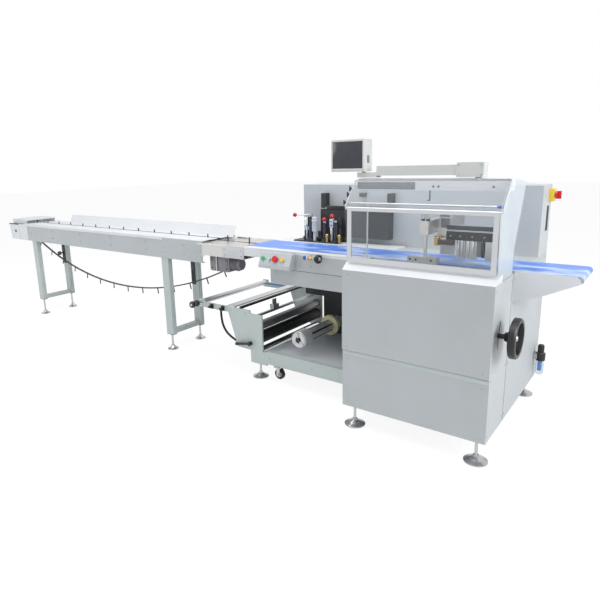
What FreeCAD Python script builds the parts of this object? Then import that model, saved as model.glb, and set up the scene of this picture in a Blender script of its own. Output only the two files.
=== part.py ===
import FreeCAD, Part
import math
import os

os.makedirs("parts", exist_ok=True)

# A horizontal flow wrapper, in mm.  Everything is drawn from one point on the floor under the first
# infeed leg: X along the product's travel, Y away from the operator, Z up.  save() then moves each
# piece so that the middle of the footprint is the origin.

V = FreeCAD.Vector

# Clearances
run_gap = 0.05        # shaft in its bore, all round
seat_gap = 0.3        # curved face to the piece that carries it
move_gap = 6.0        # moving piece to a fixed one beside it

# Footprint
line_left = -420.0
line_right = 4812.0
body_front = -343.0
body_back = 715.0
middle_x = (line_left + line_right) / 2
middle_y = (body_front + body_back) / 2

# Infeed conveyor
rail_left = -70.0
rail_right = 2390.0
rail_bottom = 750.0
rail_top = 908.0
infeed_front = -30.0
infeed_back = 330.0
sheet = 4.0
rail_flange = 25.0
tail_slant = 25.0
bed_slot = 30.0
tie_size = 40.0
tie_places = [200.0, 900.0, 1500.0, 2200.0]

# Infeed legs and feet
leg_width = 75.0
leg_depth = 40.0
leg_places = [25.0, 1965.0]
leg_bottoms = [155.0, 128.0]
leg_bar = 35.0
screw_radius = 8.0
small_pad = 44.0

# Lug chain
chain_y = 150.0
chain_thick = 10.0
chain_width = 14.0
chain_top = 885.0
tail_x = -300.0
tail_radius = 50.0
head_x = 2690.0
head_radius = 35.0
drive_x = 2425.0
drive_z = 706.0
drive_radius = 40.0
sag_bottom = 400.0
lug_pitch = 201.0
lug_length = 45.0
lug_wide = 8.0
lug_thick = 6.0

# Guides on the infeed bed
front_guide_left = -60.0
front_guide_right = 1960.0
front_guide_back = 118.0
front_guide_lip = 22.0
back_guide_left = 300.0
back_guide_right = 2475.0
back_guide_foot = 215.0
back_guide_rise = 84.0
back_guide_lean = 40.0
guide_sheet = 3.0
tail_cover_right = -140.0
tail_cover_top = 950.0

# Transfer trough and gearmotor
trough_left = 2440.0
trough_right = 2834.0
trough_front = -80.0
trough_back = 306.0
trough_floor = 822.0
trough_top = 905.0
gear_left = 2412.0
gear_right = 2600.0
gear_front = 24.0
gear_back = 128.0
gear_bottom = 690.0
gear_height = 110.0
motor_radius = 45.0
motor_length = 56.0
motor_cap = 20.0

# Belt
belt_top = 908.0
belt_thick = 3.0
belt_radius = 18.0
belt_left = 2802.0
belt_front = -14.0
belt_back = 270.0
bed_edge = 4.0
nose_pin = 6.0

# Middle deck
deck_left = 3056.0
deck_right = 3743.0
deck_front = -80.0
deck_bottom = 693.0
deck_top = 868.0
rail_end_left = 2834.0
rail_end_bottom = 850.0
table_top = 905.0
table_low = 890.0
back_front = 486.0

# Button box and hand crank
box_left = 3012.0
box_right = 3254.0
box_bottom = 800.0
box_top = 896.0
box_low_reach = 66.0
box_high_reach = 30.0
button_z = 858.0
button_places = {"green_button": 3042.0, "pale_button": 3094.0, "stop_button": 3141.0, "yellow_button": 3194.0}
button_caps = {"green_button": 13.0, "pale_button": 11.0, "stop_button": 20.0, "yellow_button": 13.0}
button_stem = 8.0
button_travel = 3.0
crank_left = 3350.0
crank_right = 3459.0
crank_y = -118.0
crank_z = 887.0
crank_shaft = 6.0
crank_knob = 25.0

# Film unwind
plate_front = -100.0
plate_thick = 12.0
plate_right = 2985.0
back_plate_face = 640.0
arm_left = 2405.0
arm_right = 2880.0
arm_bottom = 442.0
arm_top = 482.0
blind_skin = 3.0
arm_end = 2455.0
arm_end_top = 502.0
journal = 9.0
roller_sizes = {
    "outer_roller": (2430.0, 480.0, 20.0),
    "grey_roller": (2938.0, 376.0, 31.0),
    "black_roller": (2936.0, 291.0, 42.0),
    "silver_roller": (2950.0, 208.0, 22.0),
}
flat_bar_x = 2710.0
flat_bar_width = 70.0
thin_bar_x = 2800.0
third_bar_x = 2900.0
shaft_x = 3262.0
shaft_z = 335.0
shaft_tube = 41.0
shaft_core = 20.0
chuck_radius = 56.0
chuck_length = 90.0
shaft_front = -75.0
core_y = 300.0
core_outer = 70.0
core_width = 26.0

# Base
tray_left = 3018.0
base_bottom = 126.0
base_top = 216.0
beam_width = 40.0
foot_pad = 55.0
cabinet_pad = 58.0
castor_x = 3050.0
castor_y = -20.0
castor_radius = 37.0
castor_width = 28.0
castor_lift = 4.0

# Main cabinet, ledge and hood
cab_left = 3743.0
cab_right = 4517.0
cab_top = 895.0
seam_z = 457.0
kick_set = 8.0
ledge_top = 930.0
ledge_slope = 47.0
ledge_back = -236.0
hood_sheet = 5.0
door_front = -312.0
door_thick = 8.0
door_bottom = 936.0
door_top = 1207.0
door_bar = 24.0
door_rail = 9.0
hinge_z = 1214.0
hinge_y = -308.0
hinge_radius = 5.0
stay_y = -280.0
stay_z = 1236.0
stay_radius = 5.0
roof_front = -195.0
roof_z = 1355.0
cheek_left_back = -72.0
cheek_right_back = 100.0
beam_depth = 80.0
beam_height = 56.0

# End-seal unit
post_x = 4073.0
post_y = -45.0
post_radius = 9.0
seal_right = 4098.0
seal_width = 46.0
seal_high = 1136.0
seal_depth = 70.0
seal_foot_left = 3985.0
seal_foot_right = 4143.0
seal_foot_height = 50.0
jaw_left = 4166.0
jaw_right = 4430.0
jaw_depth = 50.0
jaw_low = 1036.0
jaw_high = 1082.0
jaw_block_low = 940.0
jaw_blocks = [(4218.0, 4260.0), (4266.0, 4320.0), (4362.0, 4402.0)]

# Fin-seal unit
fin_left = 2955.0
fin_right = 3300.0
fin_front = 325.0
fin_back = 452.0
fin_thick = 9.0
fin_post_y = 352.0
fin_wheels = [(3030.0, 385.0), (3143.0, 385.0)]
fin_wheel_radius = 28.0
lever_pins = 5.0
ball_radius = 14.0
lever_list = {
    "left_lever": (3085.0, 352.0, 1078.0, -98.0, -52.0, 0.0),
    "middle_lever": (3200.0, 352.0, 1034.0, 27.0, -52.0, 22.0),
    "right_lever": (3285.0, 352.0, 1040.0, 3.0, -52.0, 40.0),
}

# Rear cabinet
rear_left = 2937.0
rear_bottom = 693.0
rear_top = 1290.0

# Outfeed
out_bottom = 751.0
out_knee_x = 4644.0
out_knee_z = 797.0
out_end = 4786.0

# Operator panel
pivot_x = 4358.0
arm_y = -155.0
hmi_arm_left = 3850.0
hmi_arm_low = 1370.0
hmi_arm_high = 1418.0
hmi_arm_depth = 52.0
block_left = 4262.0
block_right = 4392.0
block_low = 1361.0
block_high = 1428.0
block_depth = 62.0
hmi_left = 3590.0
hmi_right = 3790.0
hmi_low = 1392.0
hmi_high = 1556.0
hmi_front = -200.0
hmi_depth = 90.0
hmi_pivot_x = 3765.0

# Handwheel
wheel_y = -247.0
wheel_z = 645.0
wheel_x = 4588.0
wheel_radius = 95.0
wheel_shaft = 12.0


def box(x0, x1, y0, y1, z0, z1):
    return Part.makeBox(x1 - x0, y1 - y0, z1 - z0, V(x0, y0, z0))


def rodX(x0, x1, y, z, radius):
    return Part.makeCylinder(radius, x1 - x0, V(x0, y, z), V(1, 0, 0))


def rodY(y0, y1, x, z, radius):
    return Part.makeCylinder(radius, y1 - y0, V(x, y0, z), V(0, 1, 0))


def rodZ(z0, z1, x, y, radius):
    return Part.makeCylinder(radius, z1 - z0, V(x, y, z0), V(0, 0, 1))


def prismY(points, y0, y1):
    wire = Part.makePolygon([V(x, y0, z) for x, z in points + points[:1]])
    return Part.Face(wire).extrude(V(0, y1 - y0, 0))


def prismX(points, x0, x1):
    wire = Part.makePolygon([V(x0, y, z) for y, z in points + points[:1]])
    return Part.Face(wire).extrude(V(x1 - x0, 0, 0))


def join(shapes):
    whole = shapes[0]
    for shape in shapes[1:]:
        whole = whole.fuse(shape)
    return whole.removeSplitter()


def group(shapes):
    return Part.makeCompound(shapes)


def turned(rings, base, axis):
    # A solid of revolution from (distance along the axis, radius) pairs.
    points = [V(0, 0, 0)]
    for along, radius in rings:
        points.append(V(radius, 0, along))
    points.append(V(0, 0, rings[-1][0]))
    points.append(points[0])
    body = Part.Face(Part.makePolygon(points)).revolve(V(0, 0, 0), V(0, 0, 1), 360)
    body.Placement = FreeCAD.Placement(base, FreeCAD.Rotation(V(0, 0, 1), axis))
    return body


def rounded(shape, radius, direction):
    # Rounds the straight edges that run along one direction.
    chosen = []
    for edge in shape.Edges:
        if len(edge.Vertexes) == 2:
            run = edge.Vertexes[1].Point - edge.Vertexes[0].Point
            if run.Length > 0 and abs(run.normalize().dot(direction)) > 0.999:
                chosen.append(edge)
    return shape.makeFillet(radius, chosen)


def save(name, shape):
    moved = shape.copy()
    moved.translate(V(-middle_x, -middle_y, 0))
    moved.exportStep("parts/" + name + ".step")
    print(name, round(moved.Volume / 1e6, 3), len(moved.Solids), moved.isValid())


# Infeed side rails: two folded channels, tied together across the line
def channel(outer, inward):
    lip = outer + inward * rail_flange
    skin = outer + inward * sheet
    points = [(outer, rail_bottom), (outer, rail_top), (lip, rail_top), (lip, rail_top - sheet)]
    points += [(skin, rail_top - sheet), (skin, rail_bottom + sheet)]
    points += [(lip, rail_bottom + sheet), (lip, rail_bottom)]
    return prismX(points, rail_left, rail_right)


rails = [channel(infeed_front, 1), channel(infeed_back, -1)]
tie_top = chain_top - chain_thick / 2 - 12
for place in tie_places:
    rails.append(box(place, place + tie_size, infeed_front + sheet, infeed_back - sheet, tie_top - 20, tie_top))
rails = join(rails)
leg_front = infeed_front + sheet + 2
leg_back = infeed_back - sheet - 2
leg_top = rail_top - 60
for place, leg_bottom in zip(leg_places, leg_bottoms):
    x0 = place - leg_width / 2
    x1 = place + leg_width / 2
    rails = rails.cut(box(x0, x1, leg_front, leg_front + leg_depth, leg_bottom, leg_top))
    rails = rails.cut(box(x0, x1, leg_back - leg_depth, leg_back, leg_bottom, leg_top))
chain_rail_top = chain_top - chain_thick / 2 - seat_gap
chain_rail = box(tail_x + 70, head_x - 70, chain_y - 9, chain_y + 9, tie_top, chain_rail_top)
save("infeed_rails", join([rails, chain_rail]))

# Tail end: two cheeks and an end plate, with a slanted lower corner
tail_points = [(line_left, rail_top), (rail_left, rail_top), (rail_left, rail_bottom)]
tail_points += [(line_left + tail_slant, rail_bottom)]
cheeks = [prismY(tail_points, infeed_front - sheet / 2, infeed_front + sheet / 2 + 1)]
cheeks.append(prismY(tail_points, infeed_back - sheet / 2 - 1, infeed_back + sheet / 2))
end_points = [(line_left, rail_top), (line_left + sheet, rail_top)]
end_points += [(line_left + tail_slant + sheet, rail_bottom), (line_left + tail_slant, rail_bottom)]
cheeks.append(prismY(end_points, infeed_front - sheet / 2, infeed_back + sheet / 2))
tail_z = chain_top - tail_radius
tail_bore = 12.0
tail = join(cheeks)
for y in (infeed_front - 5, infeed_back - 5):
    tail = tail.cut(rodY(y, y + 10, tail_x, tail_z, tail_bore + seat_gap))

tail_wheel = [rodY(infeed_front - 6, infeed_back + 6, tail_x, tail_z, tail_bore)]
tail_wheel.append(rodY(chain_y - 5, chain_y + 5, tail_x, tail_z, tail_radius - chain_thick / 2 - seat_gap))
tail_wheel = join(tail_wheel)

# Bed of two plates with a slot between them for the lugs
slot_front = chain_y - bed_slot / 2
slot_back = chain_y + bed_slot / 2
bed_z = rail_top + sheet
bed = [box(tail_cover_right + 10, rail_right, infeed_front, slot_front, rail_top, bed_z)]
bed.append(box(tail_cover_right + 10, rail_right, slot_back, infeed_back, rail_top, bed_z))
save("infeed_bed", group(bed))

guide_z = bed_z + guide_sheet
front_profile = [(infeed_front - guide_sheet, guide_z), (front_guide_back, guide_z), (front_guide_back, bed_z)]
front_profile += [(infeed_front, bed_z), (infeed_front, guide_z - front_guide_lip)]
front_profile += [(infeed_front - guide_sheet, guide_z - front_guide_lip)]
guides = [prismX(front_profile, front_guide_left, front_guide_right)]

foot_back = back_guide_foot + 40
lean_y = back_guide_foot + back_guide_lean
rise_z = bed_z + back_guide_rise
back_profile = [(back_guide_foot, bed_z), (foot_back, bed_z), (foot_back, guide_z)]
back_profile += [(back_guide_foot + guide_sheet + 1, guide_z), (lean_y + guide_sheet, rise_z), (lean_y, rise_z)]
guides.append(prismX(back_profile, back_guide_left, back_guide_right))
save("guide_plates", group(guides))

cover_front = infeed_front + 40
cover_back = infeed_back - 16
cover_profile = [(cover_front, rail_top), (cover_front, tail_cover_top), (cover_back, tail_cover_top)]
cover_profile += [(cover_back, rail_top), (cover_back - guide_sheet, rail_top)]
cover_profile += [(cover_back - guide_sheet, tail_cover_top - guide_sheet)]
cover_profile += [(cover_front + guide_sheet, tail_cover_top - guide_sheet), (cover_front + guide_sheet, rail_top)]
cover = [prismX(cover_profile, line_left, tail_cover_right)]
cover.append(box(line_left, line_left + guide_sheet, cover_front, cover_back, rail_top, tail_cover_top))
strip_low = chain_top + chain_thick / 2 + lug_length + 4
cover.append(box(tail_cover_right, tail_cover_right + 6, cover_front, cover_back, strip_low, tail_cover_top))
save("tail_block", join([tail] + cover))

# Legs: two U frames of flat tube, each with a bar across the bottom
legs = []
for place, leg_bottom in zip(leg_places, leg_bottoms):
    x0 = place - leg_width / 2
    x1 = place + leg_width / 2
    frame = [box(x0, x1, leg_front, leg_front + leg_depth, leg_bottom, leg_top)]
    frame.append(box(x0, x1, leg_back - leg_depth, leg_back, leg_bottom, leg_top))
    frame.append(box(x0 + 15, x1 - 15, leg_front + leg_depth, leg_back - leg_depth, leg_bottom, leg_bottom + leg_bar))
    legs.append(join(frame))
save("infeed_legs", group(legs))

# Dark slotted plates on the rear legs, with one clamp knob
plates = []
for place in leg_places:
    plates.append(box(place - 34, place + 6, leg_back - leg_depth - 8, leg_back - leg_depth, 480, rail_bottom))
    plates[-1] = plates[-1].cut(box(place - 18, place - 10, leg_back - leg_depth - 9, leg_back, 500, 600))
knob_y = leg_back - leg_depth - 8
plates[0] = join([plates[0], rodY(knob_y - 30, knob_y, leg_places[0] - 26, 585, 6)])
plates[0] = join([plates[0], rodY(knob_y - 46, knob_y - 24, leg_places[0] - 26, 585, 20)])
save("leg_plates", group(plates))


def foot(x, y, top, pad):
    rings = [(0, pad), (6, pad), (15, pad * 0.62), (28, screw_radius + 6), (36, screw_radius + 6)]
    rings += [(36, screw_radius), (top, screw_radius)]
    return turned(rings, V(x, y, 0), V(0, 0, 1))


feet = []
for place, leg_bottom in zip(leg_places, leg_bottoms):
    for y in (leg_front + leg_depth / 2, leg_back - leg_depth / 2):
        feet.append(foot(place, y, leg_bottom, small_pad))

# Lug chain: tail sprocket, head wheel, drive sprocket and one sagging return, all in one upright plane
head_z = chain_top - head_radius
depth_tail = tail_z - sag_bottom - tail_radius
depth_drive = drive_z - sag_bottom - drive_radius
lift_tail = (tail_z - sag_bottom) ** 2 - tail_radius ** 2
lift_drive = (drive_z - sag_bottom) ** 2 - drive_radius ** 2
a = depth_drive - depth_tail
b = -2 * (tail_x * depth_drive - drive_x * depth_tail)
c = (tail_x ** 2 + lift_tail) * depth_drive - (drive_x ** 2 + lift_drive) * depth_tail
root = math.sqrt(b * b - 4 * a * c)
sag_x = [x for x in ((-b + root) / (2 * a), (-b - root) / (2 * a)) if tail_x < x < drive_x][0]
sag_radius = ((sag_x - tail_x) ** 2 + lift_tail) / (2 * depth_tail)
sag_z = sag_bottom + sag_radius
run_x = drive_x - head_x
run_z = drive_z - head_z
run = math.hypot(run_x, run_z)
turn = math.atan2(run_z, run_x) - math.acos((drive_radius - head_radius) / run)
out_tail = math.atan2(tail_z - sag_z, tail_x - sag_x)
out_drive = math.atan2(drive_z - sag_z, drive_x - sag_x)


def spot(x, z, radius, angle):
    return V(x + radius * math.cos(angle), 0, z + radius * math.sin(angle))


def bow(x, z, radius, start, end):
    middle = (start + end) / 2
    return Part.Arc(spot(x, z, radius, start), spot(x, z, radius, middle), spot(x, z, radius, end)).toShape()


def chainLoop(grow):
    up = math.pi / 2
    across = Part.makeLine(spot(tail_x, tail_z, tail_radius + grow, up), spot(head_x, head_z, head_radius + grow, up))
    leave = turn + math.pi
    if leave > up:
        leave -= 2 * math.pi
    over = bow(head_x, head_z, head_radius + grow, up, leave)
    down = Part.makeLine(spot(head_x, head_z, head_radius + grow, leave),
                         spot(drive_x, drive_z, drive_radius + grow, leave))
    under = bow(drive_x, drive_z, drive_radius + grow, leave, out_drive)
    sag = bow(sag_x, sag_z, sag_radius + grow, out_drive, out_tail)
    tail_turn = bow(tail_x, tail_z, tail_radius + grow, out_tail, up - 2 * math.pi)
    return Part.Wire([across, over, down, under, sag, tail_turn])


half = chain_thick / 2
band = Part.Face(chainLoop(half)).cut(Part.Face(chainLoop(-half)))
chain = band.extrude(V(0, chain_width, 0))
chain.translate(V(0, chain_y - chain_width / 2, 0))
middle_line = chainLoop(0)
lug_count = int(middle_line.Length / lug_pitch)
fine = 20
trail = middle_line.discretize(Number=lug_count * fine + 1)
pieces = [chain.Solids[0]]
for number in range(lug_count):
    at = number * fine + fine // 2
    ahead = trail[at + 1] - trail[at - 1]
    outward = V(-ahead.z, 0, ahead.x).normalize()
    finger = Part.makeBox(lug_wide, lug_thick, lug_length + half, V(-lug_wide / 2, -lug_thick / 2, 0))
    finger.Placement = FreeCAD.Placement(trail[at] + V(0, chain_y, 0), FreeCAD.Rotation(V(0, 0, 1), outward))
    pieces.append(finger)
whole = pieces[0].fuse(pieces[1:])
save("lug_chain", whole)

# Transfer trough with its own slotted bed
trough = [box(trough_left, trough_right, trough_front, trough_front + sheet, trough_floor, trough_top)]
trough.append(box(trough_left, trough_right, trough_back - sheet, trough_back, trough_floor, trough_top))
trough.append(box(trough_left, trough_right, trough_front + sheet, trough_back - sheet, trough_floor, trough_floor + sheet))
trough = join(trough)
trough = trough.cut(box(trough_left + 12, trough_right - 40, chain_y - 20, chain_y + 20, trough_floor - 1, trough_floor + sheet + 1))
shelf_z = chain_top + chain_thick / 2 + 2
shelves = [box(rail_right, trough_right - 40, trough_front + sheet, slot_front, shelf_z, shelf_z + sheet)]
shelves.append(box(rail_right, trough_right - 40, slot_back, trough_back - sheet, shelf_z, shelf_z + sheet))
strut_points = [(2384, 806), (2398, 794), (2508, 905), (2494, 917)]
strut = prismY(strut_points, infeed_front - sheet, infeed_front)
save("transfer_trough", join([trough, strut] + shelves))
head_wheel = [rodY(slot_front - 30, slot_back + 30, head_x, head_z, 8)]
head_wheel.append(rodY(chain_y - 5, chain_y + 5, head_x, head_z, head_radius - half - seat_gap))
hang = 22
for y in (slot_front - 30 - sheet, slot_back + 30):
    head_wheel.append(box(head_x - hang, head_x + hang, y, y + sheet, trough_floor + sheet, shelf_z))
save("chain_wheels", group([tail_wheel, join(head_wheel)]))

# Gearmotor hung under the trough, its sprocket in the chain's plane
motor_y = (gear_front + gear_back) / 2
motor_z = gear_bottom + motor_radius + 12
gear = [rounded(box(gear_left, gear_right, gear_front, gear_back, gear_bottom, gear_bottom + gear_height), 14, V(0, 1, 0))]
gear.append(rodX(gear_right, gear_right + motor_length, motor_y, motor_z, motor_radius))
gear.append(rodX(gear_right + motor_length, gear_right + motor_length + motor_cap, motor_y, motor_z, motor_radius - 5))
gear.append(rodY(gear_back, chain_y + 8, drive_x, drive_z, 11))
gear.append(rodY(chain_y - 5, chain_y + 5, drive_x, drive_z, drive_radius - half - seat_gap))
gear.append(box(gear_left + 40, gear_right - 20, gear_front + 10, gear_back - 10, gear_bottom + gear_height, trough_floor))
save("gearmotor", join(gear))


# Belt: one flat loop on two nose rollers, over a slider bed
def beltLoop(x0, x1, radius):
    z = belt_top - belt_radius
    top = Part.makeLine(V(x0, 0, z + radius), V(x1, 0, z + radius))
    right = Part.Arc(V(x1, 0, z + radius), V(x1 + radius, 0, z), V(x1, 0, z - radius)).toShape()
    low = Part.makeLine(V(x1, 0, z - radius), V(x0, 0, z - radius))
    left = Part.Arc(V(x0, 0, z - radius), V(x0 - radius, 0, z), V(x0, 0, z + radius)).toShape()
    return Part.Wire([top, right, low, left])


nose_left = belt_left + belt_radius
nose_right = line_right - belt_radius
belt_z = belt_top - belt_radius
ring = Part.Face(beltLoop(nose_left, nose_right, belt_radius))
ring = ring.cut(Part.Face(beltLoop(nose_left, nose_right, belt_radius - belt_thick)))
belt = ring.extrude(V(0, belt_back - belt_front, 0))
belt.translate(V(0, belt_front, 0))
save("belt", belt)
bed_front = belt_front - bed_edge
bed_back = belt_back + bed_edge
inside = belt_radius - belt_thick - seat_gap
noses = [box(nose_left + 30, nose_right - 30, bed_front, bed_back, belt_z - inside, belt_z + inside)]
for x in (nose_left, nose_right):
    noses.append(join([rodY(belt_front + 2, belt_back - 2, x, belt_z, inside), rodY(bed_front, bed_back, x, belt_z, nose_pin)]))
save("belt_bed", group(noses))

# Middle deck, a closed housing under the belt, and the tables along both edges of the belt
deck = [box(deck_left, deck_right, deck_front, back_front, deck_bottom, deck_top)]
deck.append(box(deck_left, deck_right, deck_front, bed_front, deck_top, table_low))
for x in (crank_left + 18, crank_right - 46):
    eye = join([box(x, x + 12, crank_y, deck_front, crank_z - 14, crank_z + 14), rodX(x, x + 12, crank_y, crank_z, 14)])
    deck.append(eye.cut(rodX(x - 1, x + 13, crank_y, crank_z, crank_shaft + run_gap)))
save("middle_deck", join(deck))
tables = [box(rail_end_left, deck_right, deck_front, bed_front, table_low, belt_top)]
tables.append(box(rail_end_left, deck_left, deck_front, bed_front, rail_end_bottom, table_low))
tables.append(box(rail_end_left, deck_left, bed_back, back_front - 30, rail_end_bottom, deck_top))
tables.append(box(rail_end_left, deck_right, bed_back, back_front - 30, deck_top, table_top))
front_table = join(tables[:2])
back_table = join(tables[2:])
save("belt_tables", group([front_table, back_table]))

# Button box with a sloped face, and its buttons
reach_low = deck_front - box_low_reach
reach_high = deck_front - box_high_reach
slope_y = reach_low - reach_high
slope_z = box_bottom + 24 - box_top
face_run = V(0, slope_y, slope_z).normalize()
face_out = V(0, face_run.z, -face_run.y)
if face_out.y > 0:
    face_out = face_out * -1
wedge_points = [(deck_front, box_bottom), (reach_low, box_bottom), (reach_low, box_bottom + 24)]
wedge_points += [(reach_high, box_top), (deck_front, box_top)]
wedge = prismX(wedge_points, box_left, box_right)
for name, x in button_places.items():
    share = (button_z - box_top) / slope_z
    centre = V(x, reach_high + slope_y * share, button_z)
    wedge = wedge.cut(Part.makeCylinder(button_stem + run_gap, 30, centre + face_out * 2, face_out * -1))
    stem = Part.makeCylinder(button_stem, 32 - button_travel - 1, centre + face_out * 9, face_out * -1)
    cap_radius = button_caps[name]
    rise = 8.0 if name != "stop_button" else 14.0
    rings = [(0, cap_radius), (rise - 3, cap_radius), (rise, cap_radius - 3)]
    cap = turned(rings, centre + face_out * (button_travel + 5.2), face_out)
    save(name, join([stem, cap]))
save("button_box", wedge)

# Hand crank: a short shaft in the deck's two eyes, with a round knob
crank = [rodX(crank_left, crank_right, crank_y, crank_z, crank_shaft)]
crank.append(rodX(crank_right - 22, crank_right, crank_y, crank_z, crank_knob))
crank.append(rodX(crank_left, crank_left + 8, crank_y, crank_z, crank_shaft + 5))
save("hand_crank", join(crank))

# Film unwind: two side plates with arms on top, cross bars, four rollers and the film shaft
plate_bottom = base_bottom - 13
plate_points = [(2683, arm_bottom), (arm_right, arm_bottom), (arm_right, arm_bottom + 18)]
plate_points += [(plate_right, arm_bottom + 18), (plate_right, 205), (tray_left, 205)]
plate_points += [(tray_left, plate_bottom), (2879, plate_bottom), (2879, 200), (2761, 204)]
plate_back = plate_front + plate_thick
lever_x = 2885.0
lever_z = 250.0
lever_pin = 6.0
sides = []
arms = []
for y in (plate_front, back_plate_face):
    side = prismY(plate_points, y, y + plate_thick)
    arm = join([box(arm_left, arm_right, y, y + plate_thick, arm_bottom, arm_top),
                box(arm_left, arm_end, y, y + plate_thick, arm_top, arm_end_top)])
    for name, (x, z, radius) in roller_sizes.items():
        hole_front = y + blind_skin if y == plate_front else y - 1
        hole_back = y + plate_thick + 1 if y == plate_front else y + plate_thick - blind_skin
        if z > arm_bottom:
            arm = arm.cut(rodY(y - 1, y + plate_thick + 1, x, z, journal + run_gap))
        else:
            side = side.cut(rodY(hole_front, hole_back, x, z, journal + run_gap))
    if y == plate_front:
        side = side.cut(rodY(y - 1, y + 9, lever_x, lever_z, lever_pin + run_gap))
    sides.append(join([side, arm]))
hose_y = plate_back + 14
hose_radius = 8.0
hose_points = [(2590, 442), (2590, 376), (2610, 306), (2664, 254), (2734, 229)]
gland_radius = 12.0
gland_length = 16.0


def cordRoute(points):
    # Straight runs with an arc at each corner, tangent to both.
    edges = []
    start = points[0]
    for before, corner, after in zip(points, points[1:], points[2:]):
        back = before - corner
        ahead = after - corner
        reach = 0.45 * min(back.Length, ahead.Length)
        half_turn = (math.pi - back.getAngle(ahead)) / 2
        radius = reach / math.tan(half_turn)
        back.normalize()
        ahead.normalize()
        crown_run = (back + ahead).normalize() * (radius / math.cos(half_turn) - radius)
        edges.append(Part.LineSegment(start, corner + back * reach).toShape())
        edges.append(Part.Arc(corner + back * reach, corner + crown_run, corner + ahead * reach).toShape())
        start = corner + ahead * reach
        print("hose bend", round(radius, 1))
    edges.append(Part.LineSegment(start, points[-1]).toShape())
    return Part.Wire(edges)


hose_route = [V(x, hose_y, z) for x, z in hose_points]
hose_path = cordRoute(hose_route)
hose_end = Part.Wire([Part.makeCircle(hose_radius, hose_route[0], hose_route[1] - hose_route[0])])
hose = hose_path.makePipeShell([hose_end], True, False)
section = math.pi * hose_radius ** 2
print("hose length", round(hose_path.Length, 1), "by volume", round(hose.Volume / section, 1))
gland_run = (hose_route[-1] - hose_route[-2]).normalize()
clip_x = hose_points[0][0]
clip = box(clip_x - 16, clip_x + 16, plate_back, hose_y + 12, arm_bottom, arm_bottom + 28)
tab_x = hose_points[-1][0]
tab = box(tab_x + 10, tab_x + 34, plate_back, hose_y + 12, 212, 232)
gland = Part.makeCylinder(gland_radius, gland_length, hose_route[-1], gland_run)
sides[0] = join([sides[0], clip, tab, gland])
save("unwind_sides", group(sides))
save("sensor_hose", hose)

for name, (x, z, radius) in roller_sizes.items():
    roll = [rodY(plate_back + move_gap, back_plate_face - move_gap, x, z, radius)]
    if name == "outer_roller":
        roll.append(rodY(plate_front - 108, back_plate_face + plate_thick + 4, x, z, journal))
        for start, grip in ((plate_front - 106, 23), (plate_front - 62, 21)):
            rings = [(0, grip - 4), (4, grip), (18, grip), (24, grip - 9)]
            roll.append(turned(rings, V(x, start, z), V(0, 1, 0)))
    else:
        roll.append(rodY(plate_front + blind_skin + 0.5, back_plate_face + plate_thick - blind_skin - 0.5, x, z, journal))
    save(name, join(roll))

bar_front = plate_front
bar_back = back_plate_face + plate_thick
half_bar = flat_bar_width / 2
bars = [box(flat_bar_x - half_bar, flat_bar_x + half_bar, bar_front, bar_back, arm_top, arm_top + 8)]
bars.append(box(thin_bar_x - 8, thin_bar_x + 8, bar_front, bar_back, arm_top, arm_top + 14))
bars.append(box(third_bar_x - 8, third_bar_x + 8, plate_back, back_plate_face, 426, 442))
sensor = [box(third_bar_x - 17, third_bar_x + 17, 120, 182, 442, 476)]
sensor.append(box(third_bar_x - 4, third_bar_x + 2, 130, 172, 476, 512))
bars[-1] = join([bars[-1]] + sensor)
save("cross_bars", group(bars))
hub_back = plate_front - move_gap
side_hub = rodY(hub_back - 20, hub_back, lever_x, lever_z, 15)
side_pin = rodY(hub_back - 2, plate_front + 8, lever_x, lever_z, lever_pin)
grip_rod = Part.makeCone(8, 11, 120, V(lever_x, hub_back - 11, lever_z), V(-0.985, -0.06, -0.16))
save("clamp_lever", join([side_hub, side_pin, grip_rod]))

# Film shaft, carried at its back end only
tube_front = shaft_front + chuck_length
tube_back = 420.0
boss_front = 440.0
house_front = 480.0
house_back = back_plate_face
chuck_rings = [(0, chuck_radius - 6), (6, chuck_radius), (34, chuck_radius), (34, chuck_radius - 5)]
chuck_rings += [(40, chuck_radius - 5), (40, chuck_radius), (chuck_length, chuck_radius)]
chuck = turned(chuck_rings, V(shaft_x, shaft_front, shaft_z), V(0, 1, 0))
chuck = chuck.cut(rodY(shaft_front - 1, shaft_front + 10, shaft_x, shaft_z, 22))
tube = rodY(tube_front, tube_back, shaft_x, shaft_z, shaft_tube)
stub = rodY(tube_back, house_front + 40, shaft_x, shaft_z, shaft_core)
save("film_shaft", join([chuck, tube, stub]))
ring_blank = rodY(core_y, core_y + core_width, shaft_x, shaft_z, core_outer)
save("core_ring", ring_blank.cut(rodY(core_y - 1, core_y + core_width + 1, shaft_x, shaft_z, shaft_tube)))

house = [box(3105, deck_right, house_front, house_back, base_top, deck_bottom)]
house.append(box(2945, 3105, house_front, house_back, 486, deck_bottom))
house.append(rodY(boss_front, house_front, shaft_x, shaft_z, shaft_core + 18))
house = join(house).cut(rodY(boss_front - 1, house_front + 41, shaft_x, shaft_z, shaft_core + run_gap))
darks = [house, box(3125, 3640, back_front - 70, back_front, 942, 1126)]
darks.append(box(3116, 3154, back_front - 50, back_front, 1132, 1233))
darks.append(box(3612, 3650, back_front - 40, back_front, 1177, 1238))
save("drive_boxes", group(darks))

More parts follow.
